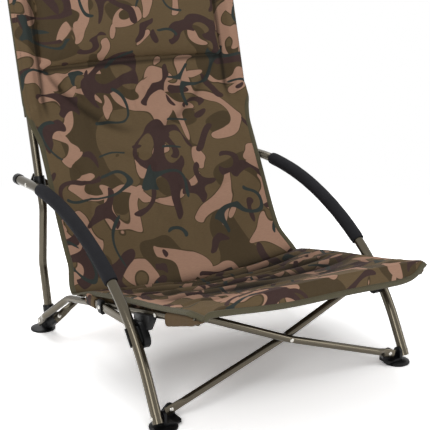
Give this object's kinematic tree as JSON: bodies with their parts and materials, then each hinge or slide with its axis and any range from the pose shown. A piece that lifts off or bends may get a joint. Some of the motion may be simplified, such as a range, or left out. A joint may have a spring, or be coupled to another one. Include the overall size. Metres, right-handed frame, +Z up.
{
  "type": "folding bank chair",
  "caption": "Low folding fishing chair: hung fabric seat and high back with head pillow, bent arm legs with foam grips, crossed tubes front and rear, mud feet.",
  "frame": {"origin": "on the floor under the middle of the open chair's bounding box", "axes": "+X to the right seen from the front, +Y to the rear, +Z up; the chair faces -Y"},
  "size_m": [0.654, 0.8564, 0.8659],
  "materials": {
    "frame_paint": "satin olive-grey powder coat on steel tube",
    "black_plastic": "moulded black nylon",
    "black_foam": "closed-cell foam grip, matt",
    "rivet_steel": "plated rivets",
    "printed_cloth": "woven polyester with a woodland camouflage print"
  },
  "bodies": {
    "side_left": {"back_post_left": "frame_paint", "rear_foot_left": "black_plastic", "rear_foot_bracket_left": "black_plastic", "rear_cross_pin_left": "rivet_steel", "rail_foot_pin_left": "rivet_steel", "back_sleeve_left": "printed_cloth"},
    "slider_left": {"arm_bracket_left": "black_plastic", "arm_pin_left": "rivet_steel", "bracket_cross_pin_left": "rivet_steel"},
    "arm_left": {"arm_leg_left": "frame_paint", "arm_cap_left": "black_plastic", "arm_grip_left": "black_foam", "leg_bracket_left": "black_plastic", "leg_bracket_rivet_left": "rivet_steel", "stay_leg_rivet_left": "rivet_steel"},
    "front_foot_left": {"front_foot_left": "black_plastic", "front_foot_bracket_left": "black_plastic", "front_cross_pin_left": "rivet_steel", "leg_foot_pin_left": "rivet_steel"},
    "front_x_left": {"front_cross_tube_left": "frame_paint"},
    "rail_left": {"seat_rail_left": "frame_paint", "front_pocket_left": "printed_cloth", "pocket_stud_left": "rivet_steel"},
    "stay_left": {"seat_stay_left": "frame_paint", "stay_clip_left": "black_plastic", "stay_rivet_left": "rivet_steel"},
    "side_right": {"back_post_right": "frame_paint", "rear_foot_right": "black_plastic", "rear_foot_bracket_right": "black_plastic", "rear_cross_pin_right": "rivet_steel", "rail_foot_pin_right": "rivet_steel", "back_sleeve_right": "printed_cloth"},
    "slider_right": {"arm_bracket_right": "black_plastic", "arm_pin_right": "rivet_steel", "bracket_cross_pin_right": "rivet_steel"},
    "arm_right": {"arm_leg_right": "frame_paint", "arm_cap_right": "black_plastic", "arm_grip_right": "black_foam", "leg_bracket_right": "black_plastic", "leg_bracket_rivet_right": "rivet_steel", "stay_leg_rivet_right": "rivet_steel"},
    "front_foot_right": {"front_foot_right": "black_plastic", "front_foot_bracket_right": "black_plastic", "front_cross_pin_right": "rivet_steel", "leg_foot_pin_right": "rivet_steel"},
    "front_x_right": {"front_cross_tube_right": "frame_paint", "front_cross_rivet": "rivet_steel"},
    "rail_right": {"seat_rail_right": "frame_paint", "front_pocket_right": "printed_cloth", "pocket_stud_right": "rivet_steel"},
    "stay_right": {"seat_stay_right": "frame_paint", "stay_clip_right": "black_plastic", "stay_rivet_right": "rivet_steel"},
    "rear_x_a": {"rear_cross_tube_a": "frame_paint", "rear_cross_rivet": "rivet_steel"},
    "rear_x_b": {"rear_cross_tube_b": "frame_paint"},
    "back_sling": {"back_sling": "printed_cloth", "head_pillow": "printed_cloth"},
    "seat_sling": {"seat_sling": "printed_cloth"}
  },
  "joints": [
    {"name": "fold", "type": "hinge", "parent": "side_left", "child": "rear_x_a", "pos_m": [-0.28, 0.2225, 0.046], "axis": [0, -0.9655, 0.2605], "range_deg": [0, 54.51], "deforming": ["seat_sling", "back_sling", "head_pillow", "back_sleeve_left", "back_sleeve_right", "front_pocket_left", "front_pocket_right"]},
    {"name": "rear_cross", "type": "hinge", "parent": "rear_x_a", "child": "rear_x_b", "pos_m": [0, 0.26491, 0.20318], "axis": [0, -0.9655, 0.2605], "range_deg": [-109.02, 0]},
    {"name": "rear_foot_pivot", "type": "hinge", "parent": "rear_x_b", "child": "side_right", "pos_m": [0.28, 0.2225, 0.046], "axis": [0, -0.9655, 0.2605], "range_deg": [0, 54.51]},
    {"name": "slider_left_pivot", "type": "hinge", "parent": "rear_x_b", "child": "slider_left", "pos_m": [-0.28, 0.30732, 0.36036], "axis": [0, -0.9655, 0.2605], "range_deg": [0, 54.51]},
    {"name": "slider_right_pivot", "type": "hinge", "parent": "rear_x_a", "child": "slider_right", "pos_m": [0.28, 0.30732, 0.36036], "axis": [0, -0.9655, 0.2605], "range_deg": [-54.51, 0]},
    {"name": "arm_left_pivot", "type": "hinge", "parent": "slider_left", "child": "arm_left", "pos_m": [-0.312, 0.27768, 0.358], "axis": [1, 0, 0], "range_deg": [0, 40.79]},
    {"name": "front_foot_left_pivot", "type": "hinge", "parent": "arm_left", "child": "front_foot_left", "pos_m": [-0.312, -0.31816, 0.025], "axis": [1, 0, 0], "range_deg": [-40.79, 0]},
    {"name": "front_x_left_pivot", "type": "hinge", "parent": "front_foot_left", "child": "front_x_left", "pos_m": [-0.272, -0.31216, 0.027], "axis": [0, -1, 0], "range_deg": [0, 66.55]},
    {"name": "rail_left_pivot", "type": "hinge", "parent": "side_left", "child": "rail_left", "pos_m": [-0.3095, 0.25584, 0.03], "axis": [1, 0, 0], "range_deg": [-50.4, 0]},
    {"name": "stay_left_pivot", "type": "hinge", "parent": "arm_left", "child": "stay_left", "pos_m": [-0.29607, -0.18701, 0.171], "axis": [1, 0, 0], "range_deg": [0, 38.86]},
    {"name": "arm_right_pivot", "type": "hinge", "parent": "slider_right", "child": "arm_right", "pos_m": [0.312, 0.27768, 0.358], "axis": [1, 0, 0], "range_deg": [0, 40.79]},
    {"name": "front_foot_right_pivot", "type": "hinge", "parent": "arm_right", "child": "front_foot_right", "pos_m": [0.312, -0.31816, 0.025], "axis": [1, 0, 0], "range_deg": [-40.79, 0]},
    {"name": "front_x_right_pivot", "type": "hinge", "parent": "front_foot_right", "child": "front_x_right", "pos_m": [0.272, -0.31216, 0.027], "axis": [0, 1, 0], "range_deg": [0, 66.55]},
    {"name": "rail_right_pivot", "type": "hinge", "parent": "side_right", "child": "rail_right", "pos_m": [0.3095, 0.25584, 0.03], "axis": [1, 0, 0], "range_deg": [-50.4, 0]},
    {"name": "stay_right_pivot", "type": "hinge", "parent": "arm_right", "child": "stay_right", "pos_m": [0.29607, -0.18701, 0.171], "axis": [1, 0, 0], "range_deg": [0, 38.86]},
    {"name": "back_shift", "type": "slide", "parent": "side_left", "child": "back_sling", "axis": [-1, 0, 0], "range_m": [0, 0.25001]},
    {"name": "seat_hinge", "type": "hinge", "parent": "back_sling", "child": "seat_sling", "pos_m": [0, 0.07984, 0.154], "axis": [1, 0, 0], "range_deg": [-78, 0]}
  ],
  "couplings": [
    {"joint": "rear_cross", "follows": "fold", "ratio": -2},
    {"joint": "rear_foot_pivot", "follows": "fold", "ratio": 1},
    {"joint": "slider_left_pivot", "follows": "fold", "ratio": 1},
    {"joint": "slider_right_pivot", "follows": "fold", "ratio": -1},
    {"joint": "arm_left_pivot", "follows": "fold", "ratio": 0.74826},
    {"joint": "front_foot_left_pivot", "follows": "fold", "ratio": -0.74826},
    {"joint": "front_x_left_pivot", "follows": "fold", "ratio": 1.2209},
    {"joint": "rail_left_pivot", "follows": "fold", "ratio": -0.92464},
    {"joint": "stay_left_pivot", "follows": "fold", "ratio": 0.71296},
    {"joint": "arm_right_pivot", "follows": "fold", "ratio": 0.74826},
    {"joint": "front_foot_right_pivot", "follows": "fold", "ratio": -0.74826},
    {"joint": "front_x_right_pivot", "follows": "fold", "ratio": 1.2209},
    {"joint": "rail_right_pivot", "follows": "fold", "ratio": -0.92464},
    {"joint": "stay_right_pivot", "follows": "fold", "ratio": 0.71296},
    {"joint": "back_shift", "follows": "fold", "m_per_rad": 0.26277},
    {"joint": "seat_hinge", "follows": "fold", "ratio": -1.4309}
  ]
}
